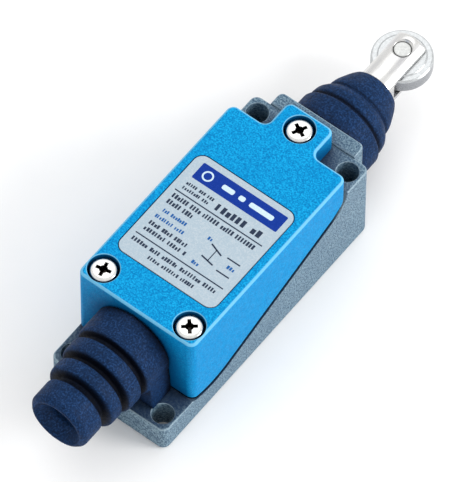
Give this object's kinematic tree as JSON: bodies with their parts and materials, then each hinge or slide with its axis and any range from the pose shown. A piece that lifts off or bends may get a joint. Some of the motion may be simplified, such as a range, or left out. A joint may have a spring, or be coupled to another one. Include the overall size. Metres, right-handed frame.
{
  "type": "limit switch",
  "caption": "Enclosed limit switch with a spring-return roller plunger in a rubber boot, a wedge-shaped screwed cover and a ribbed cable-entry boot.",
  "frame": {"origin": "middle of the base's flat back face, halfway between the mounting holes", "axes": "+Z out of the back face through the cover, +Y along the housing towards the roller, +X across the housing"},
  "size_m": [0.028, 0.1152, 0.0272],
  "materials": {
    "casting_grey": "satin",
    "cover_blue": "satin",
    "rubber_navy": "matte",
    "bright_steel": "polished",
    "brass": "satin",
    "label_foil": "satin",
    "block_black": "matte",
    "carrier_red": "matte"
  },
  "bodies": {
    "housing": {"base_housing": "casting_grey", "front_cover": "cover_blue", "cover_gasket": "rubber_navy", "nameplate": "label_foil", "cable_boot": "rubber_navy", "head_boot": "rubber_navy", "cover_screw_left": "bright_steel", "cover_screw_right": "bright_steel", "cover_screw_top": "bright_steel", "plunger_bush": "brass", "plunger_seal": "rubber_navy", "return_spring": "bright_steel", "spring_seat": "bright_steel", "carrier_spring": "bright_steel", "block_case": "block_black", "block_cover": "block_black", "terminal_nc_left": "brass", "terminal_nc_right": "brass", "terminal_no_left": "brass", "terminal_no_right": "brass", "terminal_screw_nc_left": "bright_steel", "terminal_screw_nc_right": "bright_steel", "terminal_screw_no_left": "bright_steel", "terminal_screw_no_right": "bright_steel", "block_screw_left": "bright_steel", "block_screw_right": "bright_steel", "ground_screw": "bright_steel"},
    "plunger": {"plunger_fork": "bright_steel", "roller_pin": "bright_steel", "plunger_clip": "bright_steel", "overtravel_spring": "bright_steel"},
    "roller": {"roller": "bright_steel"},
    "push_pin": {"push_pin": "bright_steel"},
    "carrier": {"contact_carrier": "carrier_red", "contact_spring": "bright_steel"},
    "bridge": {"contact_bridge": "brass"}
  },
  "joints": [
    {"name": "plunger_slide", "type": "slide", "parent": "housing", "child": "plunger", "axis": [0, -1, 0], "range_m": [0, 0.0055], "stiffness_N_per_m": 900, "springref_m": -0.003, "deforming": ["head_boot", "return_spring", "overtravel_spring"]},
    {"name": "roller_spin", "type": "hinge", "parent": "plunger", "child": "roller", "pos_m": [0, 0.06125, 0.0109], "axis": [0, 0, 1], "continuous": true},
    {"name": "push_pin_slide", "type": "slide", "parent": "housing", "child": "push_pin", "axis": [0, -1, 0], "range_m": [0, 0.0022]},
    {"name": "carrier_slide", "type": "slide", "parent": "housing", "child": "carrier", "axis": [0, -1, 0], "range_m": [0, 0.0022], "deforming": ["contact_spring", "carrier_spring"]},
    {"name": "bridge_slide", "type": "slide", "parent": "housing", "child": "bridge", "axis": [0, -1, 0], "range_m": [0, 0.0011]}
  ],
  "couplings": [
    {"joint": "push_pin_slide", "follows": "plunger_slide", "ratio": 0.4},
    {"joint": "carrier_slide", "follows": "plunger_slide", "ratio": 0.4},
    {"joint": "bridge_slide", "follows": "plunger_slide", "ratio": 0.2}
  ]
}
